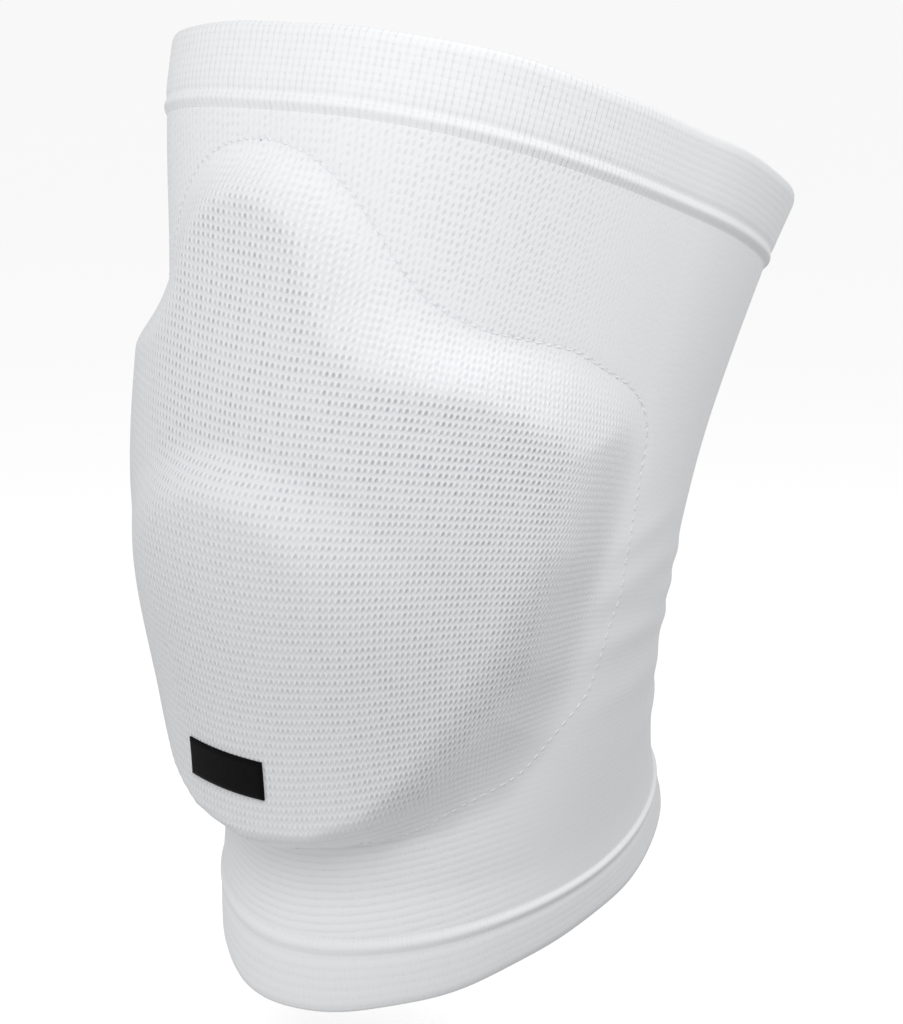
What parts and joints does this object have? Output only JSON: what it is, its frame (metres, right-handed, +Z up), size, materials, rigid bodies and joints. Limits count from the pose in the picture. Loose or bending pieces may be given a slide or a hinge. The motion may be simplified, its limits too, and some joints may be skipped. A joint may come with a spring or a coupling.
{
  "type": "wrestling knee pad",
  "caption": "Pull-on knitted knee sleeve, bent as worn, with a bevelled foam pad in a front pocket, a raised dome over the kneecap, doubled cuffs and a small blank label.",
  "frame": {"origin": "on the axis of the leg that fills the sleeve, in the middle of the knee's bend", "axes": "+Z up along the leg, the front of the knee towards -Y, +X to the side"},
  "size_m": [0.1434, 0.1796, 0.2378],
  "materials": {
    "knit": "white stretch knit, open courses over the pad",
    "cuff_knit": "white stretch knit, folded double",
    "foam": "off-white closed-cell foam",
    "label": "black woven satin tag, blank"
  },
  "bodies": {
    "root": {"sleeve": "knit", "foam_pad": "foam", "upper_cuff": "cuff_knit", "lower_cuff": "cuff_knit", "label": "label"}
  },
  "joints": []
}
